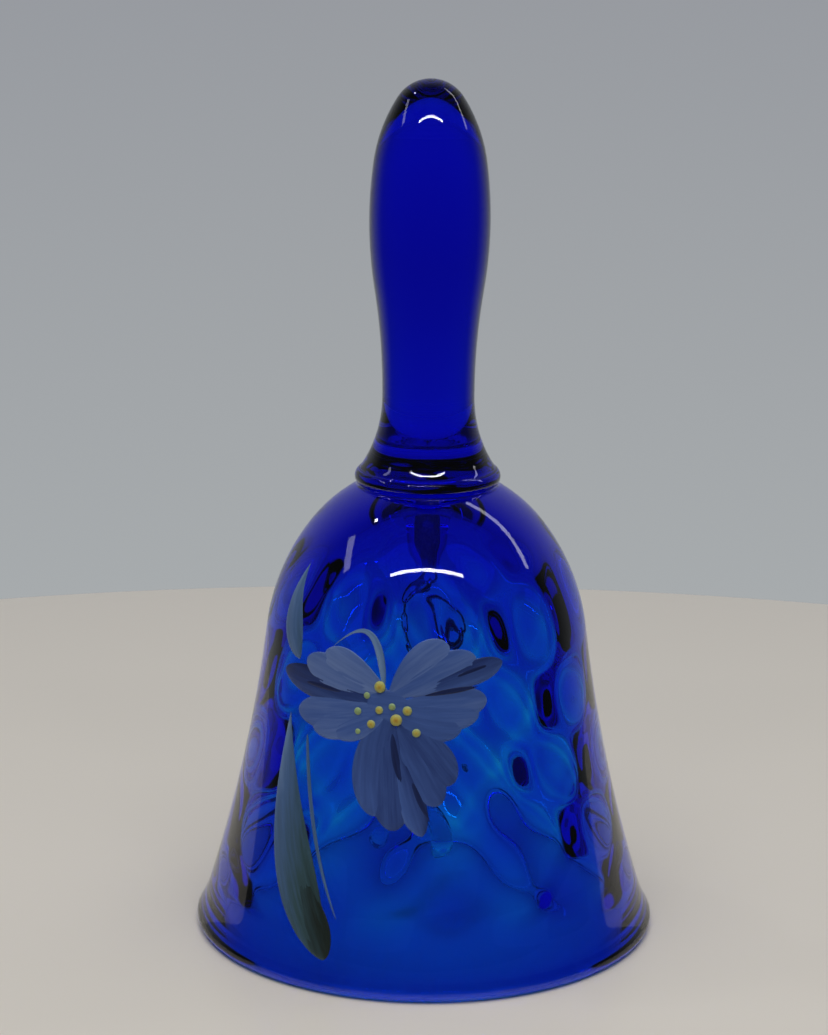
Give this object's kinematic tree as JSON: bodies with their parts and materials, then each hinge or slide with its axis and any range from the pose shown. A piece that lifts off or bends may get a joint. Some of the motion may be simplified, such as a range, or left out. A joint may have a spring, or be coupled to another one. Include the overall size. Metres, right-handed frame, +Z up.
{
  "type": "glass bell",
  "caption": "Hand bell of cobalt glass with a flared cup, a solid glass handle, and a drop clapper hung inside on a wire chain.",
  "frame": {"origin": "centre of the ground ring that the rim rests on", "axes": "+Z up along the bell's axis, towards the top of the handle; -Y is the painted front"},
  "size_m": [0.09, 0.09, 0.1654],
  "materials": {
    "cobalt_glass": "blown and fire-polished, transparent deep blue",
    "clear_glass": "clear, fire-polished",
    "steel_wire": "bright drawn wire, slightly dulled",
    "cement": "matt, off-white"
  },
  "bodies": {
    "bell": {"bell_cup": "cobalt_glass", "handle": "cobalt_glass", "cement_plug": "cement", "crown_eye": "steel_wire"},
    "link_1": {"chain_link_1": "steel_wire"},
    "link_2": {"chain_link_2": "steel_wire"},
    "link_3": {"chain_link_3": "steel_wire"},
    "link_4": {"chain_link_4": "steel_wire"},
    "link_5": {"chain_link_5": "steel_wire"},
    "link_6": {"chain_link_6": "steel_wire"},
    "link_7": {"chain_link_7": "steel_wire"},
    "clapper": {"bob_eye": "steel_wire", "clapper_bob": "clear_glass"}
  },
  "joints": [
    {"name": "link_1_swing", "type": "hinge", "parent": "bell", "child": "link_1", "pos_m": [0, 0, 0.0693], "axis": [1, 0, 0], "range_deg": [-17, 17]},
    {"name": "link_2_swing", "type": "hinge", "parent": "link_1", "child": "link_2", "pos_m": [0, 0, 0.0644], "axis": [0, 1, 0], "range_deg": [-17, 17]},
    {"name": "link_3_swing", "type": "hinge", "parent": "link_2", "child": "link_3", "pos_m": [0, 0, 0.0595], "axis": [1, 0, 0], "range_deg": [-3, 3]},
    {"name": "link_4_swing", "type": "hinge", "parent": "link_3", "child": "link_4", "pos_m": [0, 0, 0.0546], "axis": [0, 1, 0], "range_deg": [-3, 3]},
    {"name": "link_5_swing", "type": "hinge", "parent": "link_4", "child": "link_5", "pos_m": [0, 0, 0.0497], "axis": [1, 0, 0], "range_deg": [-3, 3]},
    {"name": "link_6_swing", "type": "hinge", "parent": "link_5", "child": "link_6", "pos_m": [0, 0, 0.0448], "axis": [0, 1, 0], "range_deg": [-3, 3]},
    {"name": "link_7_swing", "type": "hinge", "parent": "link_6", "child": "link_7", "pos_m": [0, 0, 0.0399], "axis": [1, 0, 0], "range_deg": [-3, 3]},
    {"name": "clapper_swing", "type": "hinge", "parent": "link_7", "child": "clapper", "pos_m": [0, 0, 0.035], "axis": [0, 1, 0], "range_deg": [-3, 3]}
  ]
}
